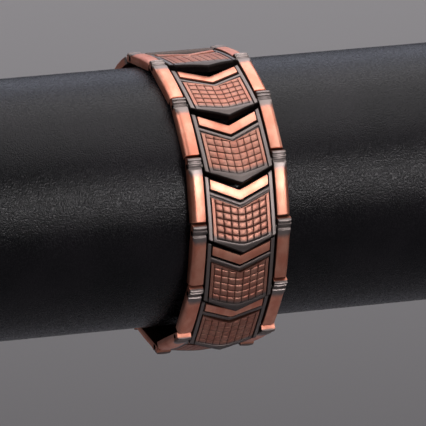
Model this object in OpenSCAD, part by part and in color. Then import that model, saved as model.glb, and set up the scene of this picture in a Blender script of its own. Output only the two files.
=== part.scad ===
// Magnetic link bracelet laid over a plain display roll.
// Millimetres. X runs along the roll, -Y is the front, +Z is up.
// The origin is on the roll's axis, halfway across the bracelet.
// A link's own frame: x across the band, y from its upper pin to its lower pin, z outward.

/* [Loop] */
// Number of links between the two ends of the clasp
link_count = 12; // [11:1:13]
// Length of a link from pin to pin
pitch = 15; // [14.6:0.1:17]
// Length of the clasp from pin to pin
clasp_len = 21.7; // [19:0.1:28]
// Place of the first pin round the roll, in degrees from the top toward the front
first_pin_angle = -17.5; // [-40:0.1:0]
// Side to which the slack of the loop hangs, in degrees from the top toward the front
hang_angle = 156; // [140:1:200]

/* [Display roll] */
// Diameter of the roll
roll_d = 59.5; // [52:0.1:59.9]
// Length of the roll
roll_len = 150; // [120:1:240]
// Chamfer round both ends of the roll
roll_chamfer = 1; // [0.2:0.1:3]
// Room between the roll and the middle of a link that lies on it
roll_gap = 0.3; // [0.1:0.05:1]

/* [Link, across] */
// Width of the bracelet over both side bars
band_w = 23.6; // [22:0.1:28]
// Width of one side bar
bar_w = 3.3; // [2.6:0.1:4]
// Radius of the crown on top of a side bar
bar_crown_r = 8.5; // [4:0.1:20]
// Room between the plate and a side bar
side_gap = 0.4; // [0.2:0.05:0.8]
// Width of the thin rail along each side of the plate
rail_w = 0.95; // [0.5:0.05:1.2]
// Width of the groove beside each rail
rail_groove = 0.2; // [0.15:0.01:0.8]
// Smooth border left and right of the waffle cells
pad_border = 0.85; // [0.5:0.05:1.5]

/* [Link, along] */
// From the upper end of a side bar to the pin's centre
knuckle_len = 1.95; // [1.7:0.05:2.2]
// Room between the side bars of neighbouring links
joint_gap = 0.4; // [0.25:0.05:0.8]
// Reach of the tongue's tip past the pin of the next link
tongue_reach = 5.35; // [4.5:0.05:6]
// Room between the tongue's tip and the next plate, with the links in line
lap_gap = 0.4; // [0.2:0.05:0.8]
// Slope of every V on the plate, in degrees
vee_angle = 23.5; // [18:0.5:26]
// Flatter slope of the rows of waffle cells, in degrees
row_angle = 14; // [0:0.5:18]
// Plain rim above the chevron
notch_rim = 0.3; // [0.1:0.05:0.6]
// Height of the chevron along the link
chevron_len = 2.3; // [1.6:0.1:2.8]
// Width of the groove between the chevron and the V ridge
vee_groove = 0.5; // [0.4:0.05:0.9]
// Width of the V ridge
ridge_len = 0.95; // [0.4:0.05:1.1]
// Width of the groove between the V ridge and the waffle pad
pad_groove = 0.35; // [0.2:0.05:0.9]
// Smooth V-shaped zone between the waffle pad and the tongue's tip
end_len = 1.85; // [1.2:0.05:2.4]
// Length of the webs that join the plate to the side bars
web_len = 8.6; // [5:0.1:9]
// From the webs' lower end to the side bars' lower end
web_margin = 0.9; // [0.5:0.1:1.5]
// From the pin's centre to the long face of a side bar
bar_step_at = 0.5; // [0.4:0.05:1.2]
// From the pin's centre back to the nearer of the knuckle's two low ridges
ridge_near = 0.7; // [0.5:0.05:0.9]
// From the pin's centre back to the farther ridge
ridge_far = 1.5; // [1.3:0.05:1.6]

/* [Link, heights from the pin's centre] */
// Down to the flat back
back_h = 0.9; // [0.8:0.05:1.2]
// Up to the floor of the grooves
floor_h = 0.75; // [0.7:0.05:1]
// Up to the rails and the V ridge
rail_h = 1.1; // [1:0.05:1.4]
// Up to the chevron
chevron_h = 1.3; // [1.1:0.05:1.6]
// Up to the crown of the waffle pad
pad_h = 1.42; // [1.2:0.02:1.7]
// Fall of the pad's dome from its middle to its sides
pad_fall = 0.35; // [0.1:0.05:0.5]
// Up to the smooth zone at the tongue's tip
end_h = 1; // [0.9:0.05:1.3]
// Up to the crown of the side bars
bar_h = 1.45; // [1.3:0.05:1.8]
// Fall of a side bar's long face from its middle to both ends
bar_arch = 0.22; // [0:0.02:0.3]
// Bevel at the lower end of a side bar
bar_bevel = 0.15; // [0.05:0.05:0.3]
// Up to the low ground of the knuckle, between its ridges
knuckle_h = 0.95; // [0.8:0.05:1.2]
// Up to the top of the webs, below zero
web_h = -0.2; // [-0.5:0.05:0]

/* [Relief] */
// Waffle cells across the pad
cell_cols = 7; // [5:1:9]
// Waffle cells along the pad
cell_rows = 5; // [4:1:6]
// Width of the grooves between the cells
cell_groove_w = 0.42; // [0.2:0.02:0.6]
// Depth of the grooves between the cells
cell_groove_h = 0.2; // [0.1:0.02:0.3]
// Smooth strip of the pad below the last row of cells
pad_foot = 0.3; // [0.2:0.05:0.8]
// Radius of the two ridges across the knuckle
ridge_r = 0.3; // [0.2:0.02:0.34]

/* [Pins and magnets] */
// Diameter of a hinge pin
pin_d = 1; // [0.8:0.05:1.1]
// Room all round a pin in its bore
pin_gap = 0.05; // [0.03:0.01:0.1]
// Depth of a pin's end inside the bar's outer face
pin_inset = 0.4; // [0.2:0.05:0.8]
// Diameter of a magnet disc
magnet_d = 6; // [4:0.5:7]
// Thickness of a magnet disc
magnet_h = 0.8; // [0.5:0.05:0.9]
// Room round and above a magnet disc
magnet_gap = 0.06; // [0.05:0.01:0.15]

/* [Clasp] */
// Distance from the clasp's upper pin to its plain cover
clasp_cover_from = 7.4; // [6.6:0.1:9]
// Reach of the clasp's plain lugs past their pins
clasp_lug = 1.5; // [1.3:0.1:1.8]
// Height of the clasp's outer face above the pins
clasp_h = 0.95; // [0.9:0.05:1.4]

/* [Hidden] */
$fn = 48;
FINE = 360;
eps = 0.02;
// Reach of a cutter past what it cuts
over = 1;
// Halvings in a search
steps = 28;
turn = 360;
// Half width in degrees of the lobe in which the slack hangs: with no slack, for each
// pitch of its depth, and at most
lobe_least_angle = 48;
lobe_gain_angle = 60;
lobe_most_angle = 100;
// Deepest slack that is tried, and the least and most degrees that a chord spans
deepest_hang = 24;
least_stride_angle = 8;
most_stride_angle = 70;

// Radius on which the pins would lie with no slack, by halving the range lo to hi
function snug_r(lo, hi, n) =
    let (m = (lo + hi) / 2)
    n == 0 ? m
    : link_count * asin(pitch / 2 / m) + asin(clasp_len / 2 / m) > 180
        ? snug_r(m, hi, n - 1) : snug_r(lo, m, n - 1);

// Pins of a link that touches the roll with its middle, but no further out than the loop reaches
pin_r_on_roll = norm([roll_d / 2 + roll_gap + back_h, pitch / 2]);
pin_r = min(pin_r_on_roll, snug_r(pitch, 6 * pitch, steps));
roll_r = pin_r == pin_r_on_roll ? roll_d / 2
    : sqrt(pow(pin_r, 2) - pow(pitch / 2, 2)) - roll_gap - back_h;

// The slack bulges off the roll as a smooth lobe, wider where it is deeper
function lobe_half(hang) = min(lobe_most_angle, lobe_least_angle + lobe_gain_angle * hang / pitch);
function from_hang(a) = abs((a - hang_angle + 1.5 * turn) % turn - turn / 2);
function path_r(a, hang) =
    pin_r + (from_hang(a) < lobe_half(hang)
        ? hang * pow(cos(turn / 4 * from_hang(a) / lobe_half(hang)), 2) : 0);
function path_at(a, hang) = path_r(a, hang) * [-sin(a), cos(a)];

// Angle round the roll, one chord of the given length past angle a
function stride(a, chord, hang, lo = least_stride_angle, hi = most_stride_angle, n = steps) =
    let (m = (lo + hi) / 2)
    n == 0 ? a + m
    : norm(path_at(a + m, hang) - path_at(a, hang)) < chord
        ? stride(a, chord, hang, m, hi, n - 1) : stride(a, chord, hang, lo, m, n - 1);
function walk(a, n, hang) =
    n == 0 ? [a] : concat([a], walk(stride(a, pitch, hang), n - 1, hang));
function overrun(hang) =
    let (stops = walk(first_pin_angle, link_count, hang))
    stride(stops[link_count], clasp_len, hang) - first_pin_angle - turn;

// Depth of the slack at which the loop just closes
function closing_hang(lo, hi, n) =
    let (m = (lo + hi) / 2)
    n == 0 ? m : overrun(m) > 0 ? closing_hang(m, hi, n - 1) : closing_hang(lo, m, n - 1);
hang = closing_hang(0, deepest_hang, steps);
pin_angles = walk(first_pin_angle, link_count, hang);
pins = [for (a = pin_angles) path_at(a, hang)];

// Tilt of the chord from pin p to pin q: 0 runs to the front, 90 runs down
function tilt(p, q) = atan2(p[1] - q[1], p[0] - q[0]);

// Places across and along a link
half_w = band_w / 2;
bar_in = half_w - bar_w;
plate_half = bar_in - side_gap;
pad_half = plate_half - rail_w - rail_groove;
cell_w = 2 * (pad_half - pad_border) / cell_cols;
bar_end = pitch - knuckle_len - joint_gap;
tip_y = pitch + tongue_reach;
notch_y = tongue_reach + lap_gap;
chevron_y = notch_y + notch_rim;
ridge_y = chevron_y + chevron_len + vee_groove;
pad_y = ridge_y + ridge_len + pad_groove;
pad_end = tip_y - end_len;
cell_len = (pad_end - pad_foot - pad_y) / cell_rows;
nose_r = knuckle_len + joint_gap / 4;
web_from = bar_end - web_margin - web_len;
bore_r = pin_d / 2 + pin_gap;
magnet_y = (ridge_y + pad_y) / 2;
dome_r = (pow(pad_half, 2) + pow(pad_fall, 2)) / (2 * pad_fall);

// Height of the pad's dome at x, and how far a V or a row of cells falls back at x
function dome_h(x) = pad_h - dome_r + sqrt(pow(dome_r, 2) - x * x);
function fall_back(x, angle = vee_angle) = abs(x) * tan(angle);

// Height of a side bar's long face, at a share of its length
function face_h(share) = bar_h - bar_arch * pow(2 * share - 1, 2);

copper = [0.72, 0.42, 0.32];
steel = [0.55, 0.55, 0.56];
black = [0.09, 0.09, 0.1];

// Lays a drawing of y and z on its side and makes it w wide along x from zero
module across(w) rotate([90, 0, 90]) linear_extrude(w) children();

// A V-shaped band over the middle of the plate: the tips of its edges lie at y0 and y1,
// and the edges slope by the angles a0 and a1
module vee(half, y0, y1, z0, z1, a0 = vee_angle, a1 = vee_angle) {
    translate([0, 0, z0]) linear_extrude(z1 - z0)
        polygon([[-half, y0 - fall_back(half, a0)], [0, y0], [half, y0 - fall_back(half, a0)],
                 [half, y1 - fall_back(half, a1)], [0, y1], [-half, y1 - fall_back(half, a1)]]);
}

// Side view of a side bar: round nose, two low ridges, a step and a long, slightly arched face
module bar_side() {
    face_len = bar_end - bar_bevel - bar_step_at;
    difference() {
        union() {
            intersection() {
                circle(r = nose_r);
                translate([-knuckle_len, -back_h]) square([knuckle_len + eps, back_h + knuckle_h]);
            }
            polygon(concat(
                [[0, knuckle_h], [0, -back_h], [bar_end, -back_h], [bar_end, face_h(1) - bar_bevel]],
                [for (share = [1:-0.25:0]) [bar_step_at + share * face_len, face_h(share)]],
                [[bar_step_at, knuckle_h]]));
            for (y = [-ridge_far, -ridge_near]) translate([y, knuckle_h]) circle(r = ridge_r);
        }
        circle(r = bore_r);
    }
}

module side_bar() {
    intersection() {
        across(bar_w) bar_side();
        translate([bar_w / 2, -pitch, bar_h - bar_crown_r])
            rotate([-90, 0, 0]) cylinder(h = 3 * pitch, r = bar_crown_r, $fn = FINE);
    }
}

// A sharp groove cut along the line from p to q
module groove(p, q) {
    run = q - p;
    flat = norm([run[0], run[1]]);
    translate(p) rotate([0, -atan2(run[2], flat), atan2(run[1], run[0])]) across(norm(run))
        polygon([[0, -cell_groove_h], [cell_groove_w, cell_groove_h], [-cell_groove_w, cell_groove_h]]);
}

// The domed pad with its columns and rows of cells. The rows are flatter than its upper edge
module waffle_pad() {
    side_x = cell_cols / 2 * cell_w;
    last_y = pad_end - pad_foot;
    difference() {
        intersection() {
            vee(pad_half, pad_y, pad_end, floor_h - eps, pad_h + over, a1 = row_angle);
            translate([0, 0, pad_h - dome_r])
                rotate([-90, 0, 0]) cylinder(h = 2 * pitch, r = dome_r, $fn = FINE);
        }
        for (i = [0:cell_cols]) {
            x = (i - cell_cols / 2) * cell_w;
            groove([x, pad_y - fall_back(x) - over, dome_h(x)],
                   [x, last_y - fall_back(x, row_angle), dome_h(x)]);
        }
        for (j = [0:cell_rows], side = [-1, 1])
            groove([-side * eps, last_y - j * cell_len, pad_h],
                   [side * side_x, last_y - j * cell_len - fall_back(side_x, row_angle), dome_h(side_x)]);
    }
}

// The centre plate with its rails, chevron, ridge, pad and tongue
module plate() {
    ridge_half = plate_half - rail_w + eps;
    vee(plate_half, notch_y, tip_y, -back_h, floor_h);
    vee(pad_half, chevron_y, chevron_y + chevron_len, floor_h - eps, chevron_h);
    vee(ridge_half, ridge_y, ridge_y + ridge_len, floor_h - eps, rail_h);
    waffle_pad();
    vee(plate_half, pad_end - eps, tip_y, floor_h - eps, end_h, a0 = row_angle);
    for (side = [-1, 1]) {
        x0 = side > 0 ? plate_half - rail_w : -plate_half;
        intersection() {
            vee(plate_half, notch_y, tip_y, floor_h - eps, rail_h);
            translate([x0, 0, 0]) cube([rail_w, pad_end, rail_h + over]);
        }
    }
}

module link_body() {
    difference() {
        union() {
            plate();
            translate([bar_in, 0, 0]) side_bar();
            translate([-half_w, 0, 0]) side_bar();
            for (x = [plate_half - eps, -bar_in - eps])
                translate([x, web_from, -back_h]) cube([side_gap + 2 * eps, web_len, back_h + web_h]);
        }
        translate([-half_w, pitch, 0]) across(band_w) circle(r = bore_r);
        translate([0, magnet_y, -back_h - over])
            cylinder(h = over + magnet_h + magnet_gap, d = magnet_d + 2 * magnet_gap);
    }
}

module magnet_body() {
    translate([0, magnet_y, -back_h]) cylinder(h = magnet_h, d = magnet_d);
}

// Moves a link's own frame to the place of link n, counted from 1
module at_link(n) {
    p = pins[n - 1];
    translate([0, p[0], p[1]]) rotate([tilt(p, pins[n]), 0, 0]) rotate([0, 0, 180]) children();
}

module link(n) {
    color(copper) at_link(n) link_body();
}

module magnet(n) {
    color(steel) at_link(n) magnet_body();
}

module pin(n) {
    len = band_w - 2 * pin_inset;
    color(steel) translate([-len / 2, pins[n - 1][0], pins[n - 1][1]])
        rotate([0, 90, 0]) cylinder(h = len, d = pin_d);
}

// The clasp: a curved plain cover with two lugs at its upper end and one broad lug at its lower end
module clasp_body() {
    mid = clasp_len / 2;
    drop = sqrt(pow(pin_r, 2) - pow(mid, 2));
    cover_end = clasp_len - knuckle_len - joint_gap;
    difference() {
        intersection() {
            translate([-half_w, mid, -drop]) rotate([0, 90, 0])
                cylinder(h = band_w, r = pin_r + clasp_h, $fn = FINE);
            union() {
                translate([-half_w, clasp_cover_from, -pitch])
                    cube([band_w, cover_end - clasp_cover_from, 2 * pitch]);
                for (x = [-half_w, bar_in]) translate([x, -clasp_lug, -pitch])
                    cube([bar_w, clasp_lug + clasp_cover_from + eps, 2 * pitch]);
                translate([-plate_half, cover_end - eps, -pitch])
                    cube([2 * plate_half, clasp_len + clasp_lug - cover_end + eps, 2 * pitch]);
            }
        }
        translate([-half_w - over, mid, -drop]) rotate([0, 90, 0])
            cylinder(h = band_w + 2 * over, r = pin_r - back_h, $fn = FINE);
        for (y = [0, clasp_len])
            translate([-half_w - over, y, 0]) across(band_w + 2 * over) circle(r = bore_r);
    }
}

module clasp() {
    p = pins[link_count];
    color(copper) translate([0, p[0], p[1]]) rotate([tilt(p, pins[0]), 0, 0]) rotate([0, 0, 180])
        clasp_body();
}

module display_roll() {
    color(black) rotate([0, 90, 0]) rotate_extrude()
        polygon([[0, -roll_len / 2], [roll_r - roll_chamfer, -roll_len / 2],
                 [roll_r, -roll_len / 2 + roll_chamfer], [roll_r, roll_len / 2 - roll_chamfer],
                 [roll_r - roll_chamfer, roll_len / 2], [0, roll_len / 2]]);
}

function numbered(word, n) = str(word, n < 10 ? "_0" : "_", n);

for (n = [1:link_count]) {
    link(n);
    magnet(n);
}
for (n = [1:link_count + 1])
    pin(n);
clasp();
display_roll();
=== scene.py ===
"""Magnetic link bracelet on a display roll: the looks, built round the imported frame.

A link is made once, as a closed casting in its own frame, and then laid from pin to pin.
In a link's own frame x runs across the band, y from its upper pin to its lower pin, and z
outward. All lengths are in metres, and MM turns millimetres into them.
"""

from __future__ import annotations

import logging
import math
from dataclasses import dataclass, field
from enum import Enum

import bmesh
import bpy
import numpy as np
from mathutils import Matrix, Vector

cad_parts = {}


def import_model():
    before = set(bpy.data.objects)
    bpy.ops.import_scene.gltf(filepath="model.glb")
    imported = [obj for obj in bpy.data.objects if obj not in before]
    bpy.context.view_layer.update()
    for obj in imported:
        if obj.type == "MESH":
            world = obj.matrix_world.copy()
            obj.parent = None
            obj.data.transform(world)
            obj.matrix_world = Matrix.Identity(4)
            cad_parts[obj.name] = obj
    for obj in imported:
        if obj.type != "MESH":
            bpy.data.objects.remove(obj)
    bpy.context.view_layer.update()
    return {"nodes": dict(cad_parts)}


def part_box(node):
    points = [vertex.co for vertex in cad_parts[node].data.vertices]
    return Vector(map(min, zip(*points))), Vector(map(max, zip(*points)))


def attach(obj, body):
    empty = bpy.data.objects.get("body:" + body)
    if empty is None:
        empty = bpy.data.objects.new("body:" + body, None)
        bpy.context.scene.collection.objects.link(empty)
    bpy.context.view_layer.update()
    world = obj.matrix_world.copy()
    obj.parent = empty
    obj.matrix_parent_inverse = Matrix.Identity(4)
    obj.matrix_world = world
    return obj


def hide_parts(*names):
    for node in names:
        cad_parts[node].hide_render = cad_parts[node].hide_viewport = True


MM = 0.001
FRAME_PIXELS = 426
LINK_COUNT = 12

# An edge that turns by more than CREASE is shaded sharp. Grid lines stand at least CLOSEST_LINES
# apart, and MIDDLE_CLEAR from the line on the middle. WALL_SHARES says how far down a slab's wall
# its rings lie. A cutter stands CUTTER_CLEAR past what it cuts.
CREASE = math.radians(38)
CLOSEST_LINES = 0.012 * MM
MIDDLE_CLEAR = 0.02 * MM
WALL_SHARES = (0.08, 0.3, 0.6, 1.0)
CUTTER_CLEAR = 1 * MM

Colour = tuple[float, float, float]
Stretch = tuple[float, float, float]
Socket = bpy.types.NodeSocket

log = logging.getLogger("bracelet")


class Side(Enum):
    """The two sides of the band."""

    LEFT = -1
    RIGHT = 1


class Slot(Enum):
    """The record's material slots."""

    COPPER = "antique_copper"
    PIN = "pin_steel"
    MAGNET = "magnet_steel"
    ROLL = "black_leatherette"


class Join(Enum):
    """How one solid is joined to another."""

    ADD = "UNION"
    CUT = "DIFFERENCE"


# Node helpers


@dataclass
class NodeSheet:
    """A material's nodes and its shader, so that a finish reads as a recipe."""

    material: bpy.types.Material
    shader: bpy.types.Node | None = None

    @classmethod
    def named(cls, name: str) -> NodeSheet:
        """Makes an empty material with a Principled shader wired to its output.

        Args:
            name: The material's name.

        Returns:
            The sheet, ready for more nodes.
        """
        material = bpy.data.materials.new(name)
        material.use_nodes = True
        material.node_tree.nodes.clear()
        sheet = cls(material)
        sheet.shader = sheet.add("ShaderNodeBsdfPrincipled")
        output = sheet.add("ShaderNodeOutputMaterial")
        sheet.link(sheet.shader.outputs["BSDF"], output.inputs["Surface"])
        return sheet

    def add(self, kind: str, **settings: object) -> bpy.types.Node:
        """Adds a node.

        Args:
            kind: Blender's name of the node type.
            **settings: Attributes to set on the node.

        Returns:
            The new node.
        """
        node = self.material.node_tree.nodes.new(kind)
        for key, value in settings.items():
            setattr(node, key, value)
        return node

    def link(self, out: Socket, into: Socket) -> None:
        """Wires one socket to another."""
        self.material.node_tree.links.new(out, into)

    def attribute(self, name: str) -> bpy.types.Node:
        """Reads a named attribute of the mesh."""
        return self.add("ShaderNodeAttribute", attribute_name=name)

    def place(self, name: str, stretch: Stretch) -> Socket:
        """Reads a vector attribute and stretches it, for textures with a grain.

        Args:
            name: The attribute's name.
            stretch: Scale along each axis.

        Returns:
            The stretched vector's socket.
        """
        mapping = self.add("ShaderNodeMapping")
        mapping.inputs["Scale"].default_value = stretch
        self.link(self.attribute(name).outputs["Vector"], mapping.inputs["Vector"])
        return mapping.outputs["Vector"]

    def noise(self, vector: Socket, scale: float, detail: float = 4.0,
              rough: float = 0.55) -> Socket:
        """Adds a noise texture.

        Args:
            vector: Where the texture is read.
            scale: Its scale.
            detail: Its octaves.
            rough: How strong the fine octaves are.

        Returns:
            The grey value's socket.
        """
        node = self.add("ShaderNodeTexNoise")
        node.inputs["Scale"].default_value = scale
        node.inputs["Detail"].default_value = detail
        node.inputs["Roughness"].default_value = rough
        self.link(vector, node.inputs["Vector"])
        return node.outputs["Fac"]

    def remap(self, value: Socket, lo: float, hi: float,
              to_lo: float = 0.0, to_hi: float = 1.0) -> Socket:
        """Maps a value from one range to another, clamped and smooth.

        Args:
            value: The value.
            lo: Start of its range.
            hi: End of its range.
            to_lo: Result at lo.
            to_hi: Result at hi.

        Returns:
            The mapped value's socket.
        """
        node = self.add("ShaderNodeMapRange", interpolation_type="SMOOTHSTEP")
        for name, number in (("From Min", lo), ("From Max", hi), ("To Min", to_lo), ("To Max", to_hi)):
            node.inputs[name].default_value = number
        self.link(value, node.inputs["Value"])
        return node.outputs["Result"]

    def compute(self, operation: str, a: Socket, b: Socket | float, clamp: bool = False) -> Socket:
        """Adds a math node.

        Args:
            operation: Blender's name of the operation.
            a: First value.
            b: Second value, a socket or a number.
            clamp: Whether the result stays between zero and one.

        Returns:
            The result's socket.
        """
        node = self.add("ShaderNodeMath", operation=operation, use_clamp=clamp)
        self.link(a, node.inputs[0])
        if isinstance(b, Socket):
            self.link(b, node.inputs[1])
        else:
            node.inputs[1].default_value = b
        return node.outputs["Value"]

    def blend(self, amount: Socket, a: Socket | Colour, b: Socket | Colour) -> Socket:
        """Blends two colours.

        Args:
            amount: Zero for a, one for b.
            a: A colour or its socket.
            b: A colour or its socket.

        Returns:
            The blended colour's socket.
        """
        node = self.add("ShaderNodeMix", data_type="RGBA")
        self.link(amount, node.inputs[0])
        for value, socket in ((a, node.inputs[6]), (b, node.inputs[7])):
            if isinstance(value, Socket):
                self.link(value, socket)
            else:
                socket.default_value = (*value, 1.0)
        return node.outputs[2]

    def bump(self, height: Socket, strength: float, distance: float) -> None:
        """Turns a height into the shader's normal.

        Args:
            height: The height's socket.
            strength: Strength of the bump.
            distance: Height of a full step, in metres.
        """
        node = self.add("ShaderNodeBump")
        node.inputs["Strength"].default_value = strength
        node.inputs["Distance"].default_value = distance
        self.link(height, node.inputs["Height"])
        self.link(node.outputs["Normal"], self.shader.inputs["Normal"])


# Finishes


@dataclass(frozen=True)
class AntiqueCopper:
    """Copper plate, rubbed bright on the high spots, with grey patina, black in the grooves and painted
    shade on walls, undersides and recesses.

    Its textures are read from the attribute local, which holds a casting's own millimetres.
    """

    bright: Colour = (0.90, 0.415, 0.29)
    deep: Colour = (0.80, 0.30, 0.20)
    patina: Colour = (0.28, 0.235, 0.22)
    # The near-black used for the grooves' black and for painted shade.
    black_and_shade: Colour = (0.009, 0.007, 0.007)
    cloud: Stretch = (0.35, 0.22, 0.35)
    mottle: Stretch = (1.0, 1.0, 1.0)
    mottle_scale: float = 2.4
    brush: Stretch = (9.0, 0.7, 9.0)
    fine: Stretch = (14.0, 5.0, 14.0)
    wander: float = 0.5
    black_and_shade_wander: float = 0.4
    patina_range: tuple[float, float] = (0.12, 0.88)
    roughness: tuple[float, float] = (0.40, 0.45)
    black_and_shade_roughness: float = 0.2
    mottle_height: float = 0.6
    bump_strength: float = 0.12
    bump_height: float = 0.03 * MM

    def build(self) -> bpy.types.Material:
        """Makes the material. It reads a casting's attributes local, patina and black_and_shade, the last
        its black and painted shade.

        Returns:
            The material.
        """
        sheet = NodeSheet.named(Slot.COPPER.value)
        cloud = sheet.noise(sheet.place("local", self.cloud), 1.0)
        mottle = sheet.noise(sheet.place("local", self.mottle), self.mottle_scale, detail=6.0, rough=0.65)
        brush = sheet.noise(sheet.place("local", self.brush), 1.0, detail=3.0)
        copper = sheet.blend(sheet.remap(cloud, 0.35, 0.65), self.deep, self.bright)
        wander = sheet.compute("MULTIPLY", sheet.compute("SUBTRACT", mottle, 0.5), self.wander)
        patina = sheet.compute("ADD", sheet.attribute("patina").outputs["Fac"], wander)
        patina = sheet.remap(patina, *self.patina_range)
        # black_and_shade blends toward near black: black in the grooves, and painted shade on walls,
        # undersides and recesses.
        black_and_shade = sheet.compute("ADD", sheet.attribute("black_and_shade").outputs["Fac"],
                             sheet.compute("MULTIPLY", wander, self.black_and_shade_wander), clamp=True)
        colour = sheet.blend(patina, copper, self.patina)
        colour = sheet.blend(black_and_shade, colour, self.black_and_shade)
        sheet.link(colour, sheet.shader.inputs["Base Color"])
        sheet.shader.inputs["Metallic"].default_value = 1.0
        rough = sheet.remap(brush, 0.3, 0.7, *self.roughness)
        rough = sheet.compute("ADD", rough, sheet.compute("MULTIPLY", black_and_shade, self.black_and_shade_roughness))
        sheet.link(rough, sheet.shader.inputs["Roughness"])
        fine = sheet.noise(sheet.place("local", self.fine), 1.0, detail=3.0)
        height = sheet.compute("ADD", fine, sheet.compute("MULTIPLY", mottle, self.mottle_height))
        sheet.bump(height, self.bump_strength, self.bump_height)
        return sheet.material


@dataclass(frozen=True)
class PlainSteel:
    """A turned or plated steel with fine marks."""

    name: str
    colour: Colour
    tarnish: Colour
    roughness: float
    roughness_spread: float = 0.15
    cloud_scale: float = 900.0
    mark_scale: float = 6000.0
    bump_strength: float = 0.2
    bump_height: float = 0.01 * MM

    def build(self) -> bpy.types.Material:
        """Makes the material from object coordinates, so that it suits the frame's own nodes.

        Returns:
            The material.
        """
        sheet = NodeSheet.named(self.name)
        place = sheet.add("ShaderNodeTexCoord").outputs["Object"]
        cloud = sheet.noise(place, self.cloud_scale)
        marks = sheet.noise(place, self.mark_scale, detail=2.0)
        sheet.link(sheet.blend(sheet.remap(cloud, 0.35, 0.7), self.colour, self.tarnish),
                   sheet.shader.inputs["Base Color"])
        sheet.shader.inputs["Metallic"].default_value = 1.0
        rough = sheet.remap(marks, 0.3, 0.7, self.roughness, self.roughness + self.roughness_spread)
        sheet.link(rough, sheet.shader.inputs["Roughness"])
        sheet.bump(marks, self.bump_strength, self.bump_height)
        return sheet.material


@dataclass(frozen=True)
class Leatherette:
    """Black leatherette: a fine pebbled grain with a soft sheen."""

    colour: Colour = (0.006, 0.006, 0.007)
    worn: Colour = (0.011, 0.010, 0.012)
    grain: float = 0.3 * MM
    grain_softness: float = 0.6
    speck: float = 0.3 * MM
    cloud_scale: float = 60.0
    roughness: tuple[float, float] = (0.10, 0.36)
    specular: float = 0.16
    fine_height: float = 0.25
    bump_height: float = 0.06 * MM

    def build(self) -> bpy.types.Material:
        """Makes the material from object coordinates.

        Returns:
            The material.
        """
        sheet = NodeSheet.named(Slot.ROLL.value)
        place = sheet.add("ShaderNodeTexCoord").outputs["Object"]
        cells = sheet.add("ShaderNodeTexVoronoi", feature="SMOOTH_F1")
        cells.inputs["Scale"].default_value = 1.0 / self.grain
        cells.inputs["Smoothness"].default_value = self.grain_softness
        sheet.link(place, cells.inputs["Vector"])
        pebble = cells.outputs["Distance"]
        fine = sheet.noise(place, 5.0 / self.grain, detail=3.0)
        cloud = sheet.noise(place, self.cloud_scale)
        sheet.link(sheet.blend(sheet.remap(cloud, 0.3, 0.7), self.colour, self.worn),
                   sheet.shader.inputs["Base Color"])
        speck = sheet.add("ShaderNodeTexVoronoi", feature="F1")
        speck.inputs["Scale"].default_value = 1.0 / self.speck
        sheet.link(place, speck.inputs["Vector"])
        sheet.link(sheet.remap(speck.outputs["Color"], 0.2, 0.8, *self.roughness),
                   sheet.shader.inputs["Roughness"])
        sheet.shader.inputs["Specular IOR Level"].default_value = self.specular
        height = sheet.compute("ADD", sheet.compute("MULTIPLY", pebble, -1.0),
                               sheet.compute("MULTIPLY", fine, self.fine_height))
        sheet.bump(height, 1.0, self.bump_height)
        return sheet.material


@dataclass(frozen=True)
class PaleGround:
    """The studio's plain pale floor."""

    colour: Colour = (0.66, 0.65, 0.67)
    roughness: float = 0.8

    def build(self) -> bpy.types.Material:
        """Makes the material.

        Returns:
            The material.
        """
        sheet = NodeSheet.named("pale_ground")
        sheet.shader.inputs["Base Color"].default_value = (*self.colour, 1.0)
        sheet.shader.inputs["Roughness"].default_value = self.roughness
        return sheet.material


# Shapes


def smooth(t: np.ndarray) -> np.ndarray:
    """Returns an S-shaped ramp, zero up to 0 and one from 1."""
    t = np.clip(t, 0.0, 1.0)
    return t * t * (3.0 - 2.0 * t)


def band(t: np.ndarray, lo: float, hi: float, wall: float) -> np.ndarray:
    """Returns one between lo and hi and zero outside, with walls of the given run inside it."""
    return smooth((t - lo) / wall) * smooth((hi - t) / wall)


def rounded_edge(inside: np.ndarray, radius: float | np.ndarray) -> np.ndarray:
    """Returns how far a rounded edge falls, at a distance inside the outline."""
    gone = np.clip(radius - inside, 0.0, radius)
    return radius - np.sqrt(radius * radius - gone * gone)


def samples(lo: float, hi: float, step: float, stops: list[tuple[float, float]]) -> np.ndarray:
    """Places grid lines from lo to hi, close together where the surface turns.

    Args:
        lo: First line.
        hi: Last line.
        step: Largest distance between lines.
        stops: Pairs of a place and the run of the wall there.

    Returns:
        The lines' places, in order.
    """
    lines = list(np.linspace(lo, hi, max(2, round((hi - lo) / step) + 1)))
    for place, run in stops:
        near = [place + k * run / 2 for k in (-2, -1, 0, 1, 2)]
        lines = [t for t in lines if t in (lo, hi) or min(abs(t - n) for n in near) > run / 4]
        lines += [t for t in near if lo < t < hi]
    lines = sorted(set(lines))
    kept = [lines[0]]
    for t in lines[1:]:
        if t - kept[-1] > CLOSEST_LINES:
            kept.append(t)
    kept[-1] = hi
    return np.array(kept)


def with_middle(lines: np.ndarray) -> np.ndarray:
    """Puts a grid line on the middle and drops those that would crowd it."""
    return np.sort(np.append(lines[np.abs(lines) > MIDDLE_CLEAR], 0.0))


def mesh_from(name: str, verts: np.ndarray, faces: list[tuple[int, ...]]) -> bpy.types.Mesh:
    """Makes a mesh with its faces turned outward.

    Args:
        name: The mesh's name.
        verts: Vertex places.
        faces: Vertex numbers of each face.

    Returns:
        The mesh.
    """
    mesh = bpy.data.meshes.new(name)
    mesh.from_pydata([tuple(v) for v in verts], [], faces)
    work = bmesh.new()
    work.from_mesh(mesh)
    bmesh.ops.recalc_face_normals(work, faces=work.faces)
    work.to_mesh(mesh)
    work.free()
    return mesh


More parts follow.
